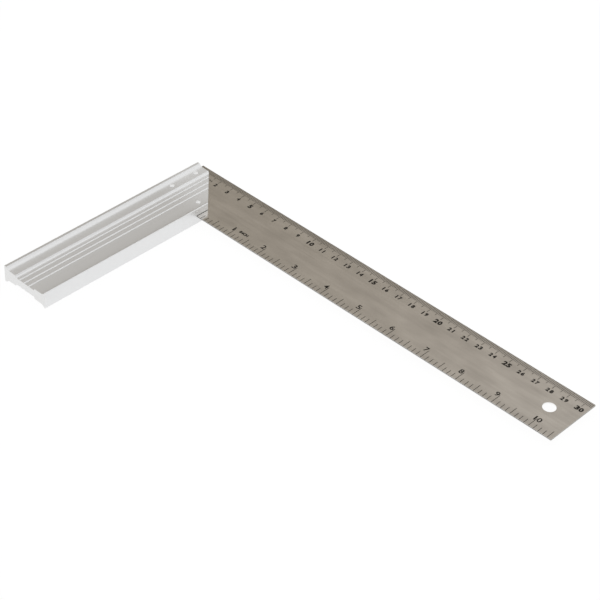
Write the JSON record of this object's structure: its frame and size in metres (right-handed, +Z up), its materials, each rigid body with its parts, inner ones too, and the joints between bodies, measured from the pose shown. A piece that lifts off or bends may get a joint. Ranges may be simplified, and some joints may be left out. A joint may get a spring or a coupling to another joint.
{
  "type": "try and mitre square",
  "caption": "Try and mitre square: a flat graduated steel blade riveted into the slotted end of a drawn aluminium stock whose inner corner is cut to a 45 degree mitre.",
  "frame": {"origin": "middle of the square's footprint, on the bench that the stock's flanges stand on", "axes": "+X along the blade away from the stock, +Y from the stock's free end towards the blade, +Z up, square to the blade's graduated face"},
  "size_m": [0.3048, 0.1586, 0.011],
  "materials": {
    "stock": "drawn, satin",
    "blade": "fine brushed along its length, dark filled graduations",
    "rivet": "pressed flush, bright"
  },
  "bodies": {
    "root": {"stock": "stock", "blade": "blade", "front_rivet": "rivet", "outer_rivet": "rivet", "inner_rivet": "rivet"}
  },
  "joints": []
}
